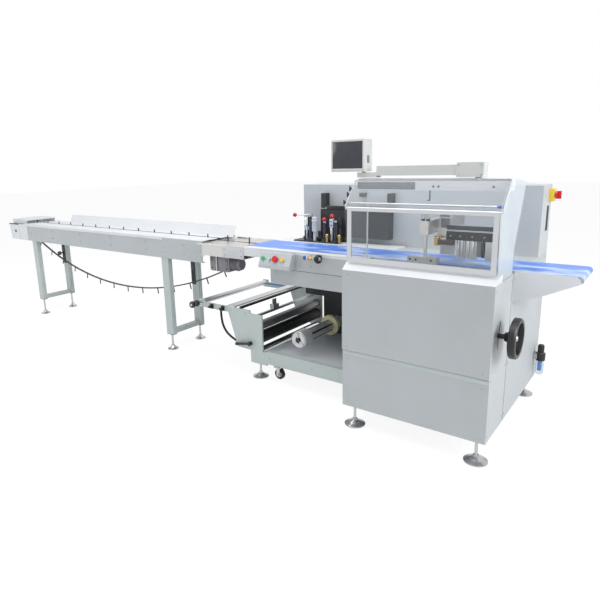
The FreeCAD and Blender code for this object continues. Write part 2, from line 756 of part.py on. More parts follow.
# Base: a tray on edge beams, with a cross beam under the side plates
beam_back = body_back - 15
base = [box(tray_left, deck_right, plate_front, plate_front + beam_width, base_bottom, base_top)]
base.append(box(tray_left, deck_right, beam_back - beam_width, beam_back, base_bottom, base_top))
base.append(box(tray_left, tray_left + 64, plate_front + beam_width, beam_back - beam_width, base_bottom, base_top - 10))
base.append(box(tray_left, deck_right, plate_front + beam_width, beam_back - beam_width, base_top - 10, base_top))
swivel_pin = 7.0
base = join(base).cut(rodZ(base_bottom - 1, base_bottom + 30, castor_x, castor_y, swivel_pin + run_gap))
cross = box(2890, 2950, plate_back, back_plate_face, base_bottom, base_bottom + 40)
save("base_frame", group([base, cross]))

feet.append(foot(2920, plate_back + 40, base_bottom, foot_pad))
feet.append(foot(2920, back_plate_face - 40, base_bottom, foot_pad))
for x in (cab_left + 52, cab_right - 52):
    feet.append(foot(x, body_front + cabinet_pad, base_bottom, cabinet_pad))
    feet.append(foot(x, body_back - cabinet_pad - 4, base_bottom, cabinet_pad))
save("levelling_feet", group(feet))

# Castor: a swivelling fork and its wheel
trail_x = castor_x + 16
axle_z = castor_radius + castor_lift
crown = axle_z + castor_radius + move_gap
cheek_in = castor_width / 2 + move_gap
fork = [rodZ(crown, base_bottom - move_gap, castor_x, castor_y, 22)]
fork.append(box(castor_x - 20, trail_x + 14, castor_y - cheek_in - 4, castor_y + cheek_in + 4, crown, crown + 8))
for side in (-1, 1):
    outer = castor_y + side * (cheek_in + 4)
    inner = castor_y + side * cheek_in
    fork.append(box(trail_x - 13, trail_x + 13, min(inner, outer), max(inner, outer), axle_z - 13, crown))
fork.append(rodY(castor_y - cheek_in - 2, castor_y + cheek_in + 2, trail_x, axle_z, 5))
fork.append(rodZ(crown, base_bottom + 25, castor_x, castor_y, swivel_pin))
save("castor_fork", join(fork))
tyre = turned([(0, castor_radius - 4), (4, castor_radius), (castor_width - 4, castor_radius), (castor_width, castor_radius - 4)],
              V(trail_x, castor_y - castor_width / 2, axle_z), V(0, 1, 0))
save("castor_wheel", tyre.cut(rodY(castor_y - 30, castor_y + 30, trail_x, axle_z, 5 + run_gap)))

# Main cabinet with a set-in kick panel, a channel for the belt and the white ledge in front
cab_points = [(body_front + kick_set, base_bottom), (body_front + kick_set, seam_z - kick_set), (body_front, seam_z)]
cab_points += [(body_front, cab_top), (bed_front, cab_top), (bed_front, deck_top), (bed_back, deck_top)]
cab_points += [(bed_back, cab_top), (body_back, cab_top), (body_back, base_bottom)]
cabinet = prismX(cab_points, cab_left, cab_right)
cabinet = cabinet.cut(rodX(cab_right - 40, cab_right + 1, wheel_y, wheel_z, wheel_shaft + run_gap))
save("main_cabinet", cabinet)
ledge_points = [(body_front, cab_top), (body_front + ledge_slope, ledge_top), (ledge_back, ledge_top), (ledge_back, cab_top)]
save("front_ledge", prismX(ledge_points, cab_left, cab_right))

# Rear cabinet
rear_points = [(rear_left, rear_bottom), (cab_left, rear_bottom), (cab_left, cab_top), (cab_right, cab_top)]
rear_points += [(cab_right, rear_top), (rear_left, rear_top)]
save("rear_cabinet", prismY(rear_points, back_front, body_back))

# Guard hood: cheeks, roof, sloping front and a framed door hinged along the bend
top_edge = [(body_front + ledge_slope, ledge_top), (hinge_y - 10, hinge_z - 14), (hinge_y - 10, hinge_z + 8)]
top_edge += [(roof_front - 5, roof_z)]
left_points = top_edge + [(cheek_left_back - 20, roof_z), (cheek_left_back, roof_z - 60)]
left_points += [(cheek_left_back, cab_top), (ledge_back, cab_top), (ledge_back, ledge_top)]
right_points = top_edge + [(cheek_right_back, roof_z - 24), (-46, 1011), (-46, cab_top)]
right_points += [(ledge_back, cab_top), (ledge_back, ledge_top)]
pin_hole = rodX(cab_left - 1, cab_right + 1, hinge_y, hinge_z, hinge_radius + run_gap)
cheeks = [prismX(left_points, cab_left, cab_left + hood_sheet).cut(pin_hole)]
cheeks.append(prismX(right_points, cab_right - hood_sheet, cab_right).cut(pin_hole))
inner_left = cab_left + hood_sheet
inner_right = cab_right - hood_sheet
slope_points = [(hinge_y + 5, hinge_z + 13), (roof_front, roof_z - 3), (roof_front, roof_z - 10), (hinge_y + 12, hinge_z + 13)]
cheeks.append(prismX(slope_points, inner_left + seat_gap, inner_right - seat_gap))
roof_points = [(roof_front + beam_depth, roof_z - 5), (roof_front + beam_depth, roof_z)]
roof_points += [(back_front, rear_top), (back_front, rear_top - 5)]
cheeks.append(prismX(roof_points, inner_left + seat_gap, inner_right - seat_gap))
save("hood_sheets", group(cheeks))
pivot_radius = 14.0
top_beam = box(inner_left, inner_right, roof_front, roof_front + beam_depth, roof_z - beam_height, roof_z)
top_beam = top_beam.cut(rodZ(roof_z - 40, roof_z + 1, pivot_x, arm_y, pivot_radius + run_gap))
save("top_beam", top_beam)

door_left = inner_left + move_gap
door_right = inner_right - move_gap
door_back = door_front + door_thick
pane_left = door_left + door_bar
pane_right = door_right - door_bar
pane_low = door_bottom + door_bar
pane_high = door_top - door_rail
door_blank = box(door_left, door_right, door_front, door_back, door_bottom, hinge_z)
hollow = box(pane_left, pane_right, door_front - 1, door_back + 1, pane_low, pane_high)
save("door_frame", join([door_blank.cut(hollow), rodX(cab_left, cab_right, hinge_y, hinge_z, hinge_radius)]))
save("door_sheet", box(pane_left, pane_right, door_front + 2, door_front + 6, pane_low, pane_high))
save("stay_rod", rodX(inner_left, inner_right, stay_y, stay_z, stay_radius))

# Operator panel: a boxed arm on a pivot pin, and the panel on a pin of its own
arm_front = arm_y - hmi_arm_depth / 2
wedge_top = hmi_low - move_gap
arm = [box(hmi_arm_left, block_left, arm_front, arm_front + hmi_arm_depth, hmi_arm_low, hmi_arm_high)]
arm.append(rounded(box(block_left, block_right, arm_y - block_depth / 2, arm_y + block_depth / 2, block_low, block_high),
                   6, V(0, 0, 1)))
arm.append(rodZ(roof_z - 36, block_low + 1, pivot_x, arm_y, pivot_radius))
arm.append(box(hmi_pivot_x - 26, hmi_arm_left, arm_y - 26, arm_y + 26, block_low, wedge_top))
panel_pin = 9.0
arm = join(arm).cut(rodZ(block_low + 6, wedge_top + 1, hmi_pivot_x, arm_y, panel_pin + run_gap))
save("panel_arm", arm)
case = rounded(box(hmi_left, hmi_right, hmi_front, hmi_front + hmi_depth, hmi_low, hmi_high), 8, V(0, 0, 1))
save("panel_case", join([case, rodZ(block_low + 8, hmi_low + 1, hmi_pivot_x, arm_y, panel_pin)]))

# End-seal unit: a box beam on a pillar, carrying the upper jaw across the belt
seal_low = seal_high - seal_depth
pillar_foot = cab_top + seal_foot_height
seal = [box(seal_right - seal_width, seal_right, post_y - 32, back_front, seal_low, seal_high)]
seal.append(rodZ(pillar_foot, seal_low, post_x, post_y, post_radius))
seal.append(box(seal_foot_left, seal_foot_right, post_y - 24, post_y + 24, cab_top, pillar_foot))
save("seal_frame", join(seal))
jaw = [box(jaw_left, jaw_right, 0, jaw_depth, jaw_low, jaw_high), box(jaw_left, jaw_right, -6, 120, jaw_high, jaw_high + 8)]
jaw.append(box(seal_right, jaw_left + 34, jaw_depth, 200, jaw_low, jaw_high + 8))
for left, right in jaw_blocks:
    jaw.append(box(left, right, 12, jaw_depth - 6, jaw_block_low, jaw_low))
save("seal_jaw", join(jaw))

# Fin-seal unit: a base plate on the back table, columns with wheels, and three ball levers
fin_top = table_top + fin_thick
fin_parts = [box(fin_left, fin_right, fin_front, fin_back, table_top, fin_top)]


def ball(centre, radius):
    low = radius * math.cos(math.radians(22.5))
    side = radius * math.sin(math.radians(22.5))
    rings = [(0, side), (low - side, low), (low + side, low), (2 * low, side)]
    return turned(rings, centre - V(0, 0, low), V(0, 0, 1))


for name, (x, y, z, dx, dy, dz) in lever_list.items():
    post_rings = [(0, 26), (20, 26), (20, 15), (z - fin_top, 15)]
    post = turned(post_rings, V(x, y, fin_top), V(0, 0, 1))
    fin_parts.append(post.cut(rodZ(z - 20, z + 1, x, y, lever_pins + run_gap)))
    hub = rodZ(z + move_gap, z + move_gap + 16, x, y, 12)
    pin = rodZ(z - 16, z + move_gap + 1, x, y, lever_pins)
    start = V(x, y, z + move_gap + 8)
    arm_run = V(dx, dy, dz)
    stick = Part.makeCylinder(4, arm_run.Length, start, arm_run)
    save(name, join([hub, pin, stick, ball(start + arm_run, ball_radius)]))
fin_rings = [(0, 18), (10, fin_wheel_radius), (22, fin_wheel_radius), (26, 18), (64, 18)]
for x, y in fin_wheels:
    fin_parts.append(turned(fin_rings, V(x, y, fin_top), V(0, 0, 1)))
save("fin_seal_unit", join(fin_parts))

# Outfeed: two side plates with a slanted lower edge
out_points = [(cab_right, out_bottom), (cab_right, belt_top), (out_end, belt_top)]
out_points += [(nose_right + 14, belt_z - 12), (out_knee_x, out_knee_z)]
out_sides = []
for y in (bed_front - sheet, bed_back):
    side = prismY(out_points, y, y + sheet)
    out_sides.append(side)
save("outfeed_sides", group(out_sides))

# Handwheel
hub_left = cab_right + move_gap
wheel_rings = [(0, 20), (14, 24), (26, 66), (30, wheel_radius - 8), (34, wheel_radius), (58, wheel_radius)]
wheel_rings += [(64, wheel_radius - 6), (64, wheel_radius - 20), (46, wheel_radius - 24), (42, 26), (48, 20)]
hub_x = wheel_x - 40
dish = turned(wheel_rings, V(hub_x, wheel_y, wheel_z), V(1, 0, 0))
spindle = rodX(cab_right - 36, hub_x + 4, wheel_y, wheel_z, wheel_shaft)
save("handwheel", join([dish, spindle]))

# Main switch and the air filter on the right end
switch_y = 668.0
switch_z = 1230.0
switch_base = box(cab_right, cab_right + 26, switch_y - 30, switch_y + 30, switch_z - 35, switch_z + 35)
save("switch_plate", switch_base.cut(rodX(cab_right + 6, cab_right + 27, switch_y, switch_z, 6 + run_gap)))
knob_left = cab_right + 26 + move_gap
knob = [rodX(knob_left, knob_left + 8, switch_y, switch_z, 22)]
knob.append(box(knob_left + 8, knob_left + 26, switch_y - 7, switch_y + 7, switch_z - 22, switch_z + 22))
knob.append(rodX(cab_right + 8, knob_left + 1, switch_y, switch_z, 6))
save("switch_knob", join(knob))
filter_x = cab_right + 38
filter_y = 612.0
unit = [box(cab_right, filter_x, filter_y - 22, filter_y + 22, 262, 296)]
unit.append(rodZ(256, 302, filter_x, filter_y, 27))
unit.append(rodZ(302, 352, filter_x, filter_y, 18))
unit.append(turned([(0, 12), (8, 20), (20, 23), (92, 23)], V(filter_x, filter_y, 164), V(0, 0, 1)))
save("air_filter", join(unit))
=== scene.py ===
import bpy
import math
from mathutils import Matrix, Vector


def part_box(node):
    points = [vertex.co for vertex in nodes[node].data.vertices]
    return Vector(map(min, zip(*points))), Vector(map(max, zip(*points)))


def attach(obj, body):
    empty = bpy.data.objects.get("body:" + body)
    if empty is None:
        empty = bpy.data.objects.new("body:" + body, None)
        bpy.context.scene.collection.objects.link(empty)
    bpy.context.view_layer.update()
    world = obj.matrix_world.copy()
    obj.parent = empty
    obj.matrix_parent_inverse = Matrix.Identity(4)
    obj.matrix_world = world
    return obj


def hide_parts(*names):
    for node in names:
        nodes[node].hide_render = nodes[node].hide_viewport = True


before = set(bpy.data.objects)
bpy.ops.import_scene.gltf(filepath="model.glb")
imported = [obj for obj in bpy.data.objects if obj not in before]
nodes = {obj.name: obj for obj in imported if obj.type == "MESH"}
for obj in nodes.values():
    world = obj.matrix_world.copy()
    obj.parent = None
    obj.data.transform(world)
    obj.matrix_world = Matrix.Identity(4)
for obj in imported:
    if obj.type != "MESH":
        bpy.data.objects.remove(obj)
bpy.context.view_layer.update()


# camera
cameraPlace = {
    "location": (2.924, -2.871, 1.450),
    "yaw": 0.6531,
    "pitch": 0.2334,
    "roll": -0.0264,
    "lens": 31.5,
    "shift": (0.034, -0.0215),
}


def makeCamera():
    data = bpy.data.cameras.new("camera")
    data.lens = cameraPlace["lens"]
    data.sensor_width = 36.0
    data.shift_x, data.shift_y = cameraPlace["shift"]
    data.clip_end = 60.0
    camera = bpy.data.objects.new("camera", data)
    bpy.context.scene.collection.objects.link(camera)
    turnZ = Matrix.Rotation(cameraPlace["yaw"], 4, "Z")
    tilt = Matrix.Rotation(math.pi / 2 - cameraPlace["pitch"], 4, "X")
    rollTurn = Matrix.Rotation(cameraPlace["roll"], 4, "Z")
    camera.matrix_world = Matrix.Translation(cameraPlace["location"]) @ turnZ @ tilt @ rollTurn
    bpy.context.scene.camera = camera


makeCamera()


# finishes: each builder returns one node material
def newMaterial(name):
    material = bpy.data.materials.new(name)
    material.use_nodes = True
    tree = material.node_tree
    shader = tree.nodes["Principled BSDF"]
    position = tree.nodes.new("ShaderNodeTexCoord")
    return material, tree, shader, position.outputs["Object"]


def linear(colour):
    # colours are written as they look on a screen
    return tuple(c / 12.92 if c <= 0.04045 else ((c + 0.055) / 1.055) ** 2.4 for c in colour)


def noiseNode(tree, vector, scale, detail=3.0, stretch=None):
    if stretch:
        mapping = tree.nodes.new("ShaderNodeMapping")
        mapping.inputs["Scale"].default_value = stretch
        tree.links.new(vector, mapping.inputs["Vector"])
        vector = mapping.outputs["Vector"]
    noise = tree.nodes.new("ShaderNodeTexNoise")
    noise.inputs["Scale"].default_value = scale
    noise.inputs["Detail"].default_value = detail
    tree.links.new(vector, noise.inputs["Vector"])
    return noise.outputs["Fac"]


def rampNode(tree, fac, stops):
    ramp = tree.nodes.new("ShaderNodeValToRGB")
    while len(ramp.color_ramp.elements) < len(stops):
        ramp.color_ramp.elements.new(0.5)
    for element, (at, colour) in zip(ramp.color_ramp.elements, stops):
        element.position = at
        element.color = (*colour, 1.0)
    tree.links.new(fac, ramp.inputs["Fac"])
    return ramp.outputs["Color"]


def bumpNode(tree, shader, height, strength, distance):
    bump = tree.nodes.new("ShaderNodeBump")
    bump.inputs["Strength"].default_value = strength
    bump.inputs["Distance"].default_value = distance
    tree.links.new(height, bump.inputs["Height"])
    tree.links.new(bump.outputs["Normal"], shader.inputs["Normal"])


def shaded(colour, factor):
    return tuple(min(1.0, c * factor) for c in linear(colour))


def roughRange(tree, shader, fac, low, high):
    spread = tree.nodes.new("ShaderNodeMapRange")
    spread.inputs["To Min"].default_value = low
    spread.inputs["To Max"].default_value = high
    tree.links.new(fac, spread.inputs["Value"])
    tree.links.new(spread.outputs["Result"], shader.inputs["Roughness"])


def powderCoat(name, colour, roughness=0.42, grain=420.0):
    material, tree, shader, position = newMaterial(name)
    cloudy = noiseNode(tree, position, 2.4, 4.0)
    stops = [(0.30, shaded(colour, 0.955)), (0.50, shaded(colour, 1.0)), (0.72, shaded(colour, 1.035))]
    tree.links.new(rampNode(tree, cloudy, stops), shader.inputs["Base Color"])
    peel = noiseNode(tree, position, grain, 2.0)
    roughRange(tree, shader, noiseNode(tree, position, 9.0, 3.0), roughness - 0.06, roughness + 0.08)
    bumpNode(tree, shader, peel, 0.12, 0.0004)
    return material


def brushedMetal(name, colour, roughness=0.3, along="X", grain=700.0, metallic=1.0):
    material, tree, shader, position = newMaterial(name)
    shader.inputs["Metallic"].default_value = metallic
    stretch = {"X": (0.02, 1.0, 1.0), "Y": (1.0, 0.02, 1.0), "Z": (1.0, 1.0, 0.02)}[along]
    strokes = noiseNode(tree, position, grain, 4.0, stretch)
    stops = [(0.30, shaded(colour, 0.90)), (0.55, shaded(colour, 1.0)), (0.75, shaded(colour, 1.07))]
    tree.links.new(rampNode(tree, strokes, stops), shader.inputs["Base Color"])
    roughRange(tree, shader, strokes, roughness - 0.08, roughness + 0.12)
    bumpNode(tree, shader, strokes, 0.10, 0.0002)
    return material


def moulded(name, colour, roughness=0.5, grain=900.0, strength=0.12):
    material, tree, shader, position = newMaterial(name)
    stops = [(0.35, shaded(colour, 0.92)), (0.65, shaded(colour, 1.08))]
    tree.links.new(rampNode(tree, noiseNode(tree, position, 14.0, 3.0), stops), shader.inputs["Base Color"])
    fine = noiseNode(tree, position, grain, 3.0)
    roughRange(tree, shader, fine, roughness - 0.07, roughness + 0.07)
    bumpNode(tree, shader, fine, strength, 0.0003)
    return material


def clearSheet(name, colour, alpha, roughness=0.08):
    material, tree, shader, position = newMaterial(name)
    shader.inputs["Base Color"].default_value = (*linear(colour), 1.0)
    shader.inputs["IOR"].default_value = 1.49
    smears = noiseNode(tree, position, 5.0, 5.0, (1.0, 1.0, 0.4))
    haze = tree.nodes.new("ShaderNodeMapRange")
    haze.inputs["To Min"].default_value = alpha * 0.7
    haze.inputs["To Max"].default_value = alpha * 1.3
    tree.links.new(smears, haze.inputs["Value"])
    tree.links.new(haze.outputs["Result"], shader.inputs["Alpha"])
    roughRange(tree, shader, smears, roughness * 0.7, roughness * 1.6)
    return material


def beltFabric(name, colour):
    material, tree, shader, position = newMaterial(name)
    worn = noiseNode(tree, position, 3.0, 5.0, (0.35, 1.6, 1.0))
    stops = [(0.36, shaded(colour, 0.90)), (0.55, shaded(colour, 1.02)), (0.74, shaded(colour, 1.16))]
    blue = rampNode(tree, worn, stops)
    # whitish patches over the belt from x 0.78 to 0.92: partly film lying on the belt, partly painted sheen
    axes = tree.nodes.new("ShaderNodeSeparateXYZ")
    tree.links.new(position, axes.inputs["Vector"])
    reach = tree.nodes.new("ShaderNodeMapRange")
    reach.inputs["From Min"].default_value = 0.78
    reach.inputs["From Max"].default_value = 0.92
    tree.links.new(axes.outputs["X"], reach.inputs["Value"])
    filmSheenPatches = rampNode(tree, noiseNode(tree, position, 7.0, 4.0, (0.6, 1.8, 1.0)),
                     [(0.44, (0.0,) * 3), (0.62, (0.85,) * 3)])
    filmSheenShare = tree.nodes.new("ShaderNodeMath")
    filmSheenShare.operation = "MULTIPLY"
    tree.links.new(reach.outputs["Result"], filmSheenShare.inputs[0])
    tree.links.new(filmSheenPatches, filmSheenShare.inputs[1])
    mix = tree.nodes.new("ShaderNodeMix")
    mix.data_type = "RGBA"
    mix.inputs["B"].default_value = (*linear((0.80, 0.86, 0.94)), 1.0)
    tree.links.new(blue, mix.inputs["A"])
    tree.links.new(filmSheenShare.outputs["Value"], mix.inputs["Factor"])
    tree.links.new(mix.outputs["Result"], shader.inputs["Base Color"])
    weave = noiseNode(tree, position, 900.0, 2.0)
    roughRange(tree, shader, worn, 0.26, 0.42)
    bumpNode(tree, shader, weave, 0.10, 0.0003)
    return material


paint = powderCoat("paintGrey", (0.745, 0.765, 0.775))
paintPanel = powderCoat("paintPanel", (0.715, 0.735, 0.745), 0.45)
paintGreen = powderCoat("paintGreen", (0.735, 0.775, 0.768))
paintWhite = powderCoat("paintWhite", (0.86, 0.87, 0.885), 0.38)
paintTray = powderCoat("paintTray", (0.80, 0.81, 0.825), 0.30)
armPaint = powderCoat("armPaint", (0.80, 0.81, 0.80), 0.40)
housingPaint = powderCoat("housingPaint", (0.56, 0.55, 0.58), 0.40)
stainless = brushedMetal("stainless", (0.80, 0.80, 0.79), 0.32, "X", 500.0)
steel = brushedMetal("steel", (0.74, 0.745, 0.75), 0.26, "Z", 900.0)
chrome = brushedMetal("chrome", (0.86, 0.865, 0.875), 0.14, "Y", 900.0)
rollerGrey = brushedMetal("rollerGrey", (0.50, 0.50, 0.51), 0.34, "Y", 300.0, 0.7)
aluminium = brushedMetal("aluminium", (0.80, 0.81, 0.82), 0.34, "Y", 700.0)
tubeSilver = brushedMetal("tubeSilver", (0.80, 0.805, 0.81), 0.36, "Y", 700.0, 0.45)
darkSteel = brushedMetal("darkSteel", (0.28, 0.28, 0.29), 0.40, "Z", 600.0, 0.8)
chainSteel = brushedMetal("chainSteel", (0.33, 0.32, 0.31), 0.42, "X", 300.0, 0.8)
rubberBlack = moulded("rubberBlack", (0.085, 0.085, 0.09), 0.62, 500.0)
plasticBlack = moulded("plasticBlack", (0.075, 0.075, 0.08), 0.38, 1200.0)
boxBlack = moulded("boxBlack", (0.14, 0.145, 0.16), 0.45)
beltBlue = beltFabric("beltBlue", (0.30, 0.50, 0.86))
hoodClear = clearSheet("hoodClear", (0.80, 0.83, 0.85), 0.06)
hoodMilky = clearSheet("hoodMilky", (0.86, 0.89, 0.91), 0.55, 0.3)
redGloss = moulded("redGloss", (0.80, 0.09, 0.08), 0.25)
greenGloss = moulded("greenGloss", (0.16, 0.66, 0.42), 0.28)
paleGloss = moulded("paleGloss", (0.66, 0.84, 0.78), 0.30)
yellowGloss = moulded("yellowGloss", (0.90, 0.76, 0.20), 0.30)
coreCard = moulded("coreCard", (0.86, 0.84, 0.68), 0.55)
brass = brushedMetal("brass", (0.78, 0.64, 0.38), 0.30, "Z", 600.0)

brownBox = moulded("brownBox", (0.26, 0.20, 0.17), 0.45)
blueCap = moulded("blueCap", (0.16, 0.36, 0.78), 0.32)
screenGlass = moulded("screenGlass", (0.22, 0.225, 0.26), 0.12, 60.0, 0.02)
# mid-grey paint for small parts, also painted shade in the top beam's recess
greyAndRecessShade = powderCoat("greyAndRecessShade", (0.50, 0.505, 0.53), 0.45)
bowlClear = clearSheet("bowlClear", (0.62, 0.78, 0.84), 0.35)
# dark seams, and the painted shadow line under the tail block's top lip
seamAndShadowDark = moulded("seamAndShadowDark", (0.20, 0.205, 0.21), 0.7)
panelLight = powderCoat("panelLight", (0.79, 0.80, 0.81), 0.36)

nodeFinish = {
    paintPanel: ["infeed_rails", "main_cabinet", "middle_deck"],
    paintGreen: ["infeed_legs", "unwind_sides", "base_frame"],
    paintWhite: ["infeed_bed", "guide_plates", "tail_block", "belt_tables", "front_ledge", "top_beam",
                 "outfeed_sides"],
    paint: ["rear_cabinet", "button_box"],
    armPaint: ["panel_arm", "panel_case"],
    stainless: ["transfer_trough", "seal_frame", "seal_jaw"],
    steel: ["levelling_feet", "castor_fork", "belt_bed", "stay_rod"],
    chrome: ["silver_roller"],
    aluminium: ["outer_roller", "cross_bars", "door_frame"],
    tubeSilver: ["film_shaft"],
    rollerGrey: ["grey_roller"],
    # leg_plates: dark plates on the rear legs, partly real plates, partly the conveyor's painted shadow on
    # the legs
    darkSteel: ["leg_plates", "fin_seal_unit"],
    chainSteel: ["lug_chain", "chain_wheels"],
    housingPaint: ["gearmotor"],
    rubberBlack: ["black_roller", "castor_wheel"],
    plasticBlack: ["hand_crank", "clamp_lever", "handwheel"],
    # drive_boxes: their dark colour is partly painted shade of the hollows under the deck and behind the hood
    boxBlack: ["drive_boxes"],
    beltBlue: ["belt"],
    hoodClear: ["hood_sheets", "door_sheet"],
    redGloss: ["stop_button", "switch_knob"],
    greenGloss: ["green_button"],
    paleGloss: ["pale_button"],
    yellowGloss: ["yellow_button", "switch_plate"],
    coreCard: ["core_ring"],
}
for finish, names in nodeFinish.items():
    for name in names:
        for slot in nodes[name].material_slots:
            slot.material = finish
print("finishes done")


# floor, backdrop and light
stageLight = {"sky": (0.40, 0.41, 0.425), "floorGlow": 1.09, "floorShare": 0.82}


def straightRays(tree):
    # 1 for what the camera sees, straight, mirrored or through a clear sheet
    rays = tree.nodes.new("ShaderNodeLightPath")
    total = rays.outputs["Is Camera Ray"]
    for kind in ("Is Glossy Ray", "Is Transmission Ray"):
        both = tree.nodes.new("ShaderNodeMath")
        both.operation = "MAXIMUM"
        tree.links.new(total, both.inputs[0])
        tree.links.new(rays.outputs[kind], both.inputs[1])
        total = both.outputs["Value"]
    return total


def makeStage():
    bpy.ops.mesh.primitive_plane_add(size=60.0, location=(0.0, 0.0, -0.0005))
    floor = bpy.context.object
    floor.name = "floor"
    material, tree, shader, position = newMaterial("floorWhite")
    shader.inputs["Roughness"].default_value = 0.9
    shader.inputs["Base Color"].default_value = (0.90, 0.90, 0.90, 1.0)
    glow = tree.nodes.new("ShaderNodeEmission")
    glow.inputs["Strength"].default_value = stageLight["floorGlow"]
    share = tree.nodes.new("ShaderNodeMath")
    share.operation = "MULTIPLY"
    share.inputs[1].default_value = stageLight["floorShare"]
    tree.links.new(straightRays(tree), share.inputs[0])
    blend = tree.nodes.new("ShaderNodeMixShader")
    tree.links.new(share.outputs["Value"], blend.inputs["Fac"])
    tree.links.new(shader.outputs["BSDF"], blend.inputs[1])
    tree.links.new(glow.outputs["Emission"], blend.inputs[2])
    tree.links.new(blend.outputs["Shader"], tree.nodes["Material Output"].inputs["Surface"])
    floor.data.materials.append(material)
    world = bpy.data.worlds.new("studio")
    world.use_nodes = True
    tree = world.node_tree
    background = tree.nodes["Background"]
    mix = tree.nodes.new("ShaderNodeMix")
    mix.data_type = "RGBA"
    mix.inputs["A"].default_value = (*stageLight["sky"], 1.0)
    mix.inputs["B"].default_value = (1.0, 1.0, 1.0, 1.0)
    tree.links.new(straightRays(tree), mix.inputs["Factor"])
    tree.links.new(mix.outputs["Result"], background.inputs["Color"])
    background.inputs["Strength"].default_value = 1.0
    bpy.context.scene.world = world


def areaLight(name, position, target, size, power):
    data = bpy.data.lights.new(name, "AREA")
    data.shape = "DISK"
    data.size = size
    data.energy = power
    light = bpy.data.objects.new(name, data)
    bpy.context.scene.collection.objects.link(light)
    aim = Vector(target) - Vector(position)
    light.matrix_world = Matrix.Translation(position) @ aim.to_track_quat("-Z", "Y").to_matrix().to_4x4()


makeStage()
areaLight("topLight", (0.6, -0.6, 4.6), (0.2, 0.0, 0.6), 4.5, 150.0)
areaLight("rightLight", (5.2, -0.8, 2.4), (2.0, 0.0, 0.8), 2.2, 95.0)
areaLight("leftLight", (-4.2, -3.6, 2.6), (-1.0, 0.0, 0.7), 2.6, 60.0)
bpy.context.scene.view_settings.view_transform = "Standard"
print("stage done")


# the film sensor's hose, held at both ends
hoseSize = {"diameter": 0.016, "length": 0.285}
hoseRoute = [(0.394, 0.442), (0.394, 0.376), (0.414, 0.306), (0.468, 0.254), (0.538, 0.229)]


def makeHose():
    across = -0.260
    data = bpy.data.curves.new("sensorHose", "CURVE")
    data.dimensions = "3D"
    data.bevel_depth = hoseSize["diameter"] / 2
    data.bevel_resolution = 5
    data.resolution_u = 16
    spline = data.splines.new("NURBS")
    spline.points.add(len(hoseRoute) - 1)
    for point, (x, z) in zip(spline.points, hoseRoute):
        point.co = (x, across, z, 1.0)
    spline.order_u = 3
    spline.use_endpoint_u = True
    hose = bpy.data.objects.new("sensorHose", data)
    bpy.context.scene.collection.objects.link(hose)
    data.materials.append(rubberBlack)
    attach(hose, "body")
    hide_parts("sensor_hose")


makeHose()


# how the visual pieces are made
lineStart = (-2.196, -0.186, 0.0)  # the floor point under the first infeed leg; places below are mm from it


def place(x, y, z):
    return Vector((x / 1000 + lineStart[0], y / 1000 + lineStart[1], z / 1000 + lineStart[2]))


def inMillimetres(point):
    return tuple((value - start) * 1000 for value, start in zip(point, lineStart))


def nodeBox(name):
    low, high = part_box(name)
    return inMillimetres(low), inMillimetres(high)


def bevelSharp(width, segments=2, sharpness=40.0):
    bpy.ops.object.mode_set(mode="EDIT")
    bpy.ops.mesh.select_mode(type="EDGE")
    bpy.ops.mesh.select_all(action="DESELECT")
    bpy.ops.mesh.edges_select_sharp(sharpness=math.radians(sharpness))
    bpy.ops.mesh.bevel(offset=width / 1000, segments=segments, affect="EDGES")
    bpy.ops.object.mode_set(mode="OBJECT")


def finishPiece(name, finish, body):
    piece = bpy.context.object
    piece.name = name
    piece.data.name = name
    piece.data.materials.clear()
    piece.data.materials.append(finish)
    bpy.ops.object.transform_apply(location=True, rotation=True, scale=True)
    bpy.ops.object.shade_smooth_by_angle(angle=math.radians(35))
    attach(piece, body)
    return piece


def block(name, finish, low, high, edge=0.8, body="body", tilt=0.0):
    # a box with rounded edges, tilted about X where the piece leans
    bpy.ops.object.select_all(action="DESELECT")
    near, far = place(*low), place(*high)
    bpy.ops.mesh.primitive_cube_add(size=1.0, location=(near + far) / 2)
    piece = bpy.context.object
    piece.scale = far - near
    bpy.ops.object.transform_apply(location=False, rotation=False, scale=True)
    bevelSharp(edge)
    piece.rotation_euler = (tilt, 0.0, 0.0)
    return finishPiece(name, finish, body)


def slantBar(name, finish, left, right, start, end, thick, body="body"):
    # a bar between two (y, z) points, seen from the side
    rise = math.atan2(end[1] - start[1], end[0] - start[0])
    length = math.hypot(end[0] - start[0], end[1] - start[1])
    middleY, middleZ = (start[0] + end[0]) / 2, (start[1] + end[1]) / 2
    low = (left, middleY - length / 2, middleZ - thick / 2)
    high = (right, middleY + length / 2, middleZ + thick / 2)
    return block(name, finish, low, high, 0.5, body, rise)


def rod(name, finish, start, end, radius, edge=0.5, sides=20, body="body"):
    bpy.ops.object.select_all(action="DESELECT")
    first, last = place(*start), place(*end)
    run = last - first
    aim = run.to_track_quat("Z", "Y").to_euler()
    bpy.ops.mesh.primitive_cylinder_add(vertices=sides, radius=radius / 1000, depth=run.length,
                                        location=(first + last) / 2, rotation=aim)
    bevelSharp(edge)
    return finishPiece(name, finish, body)


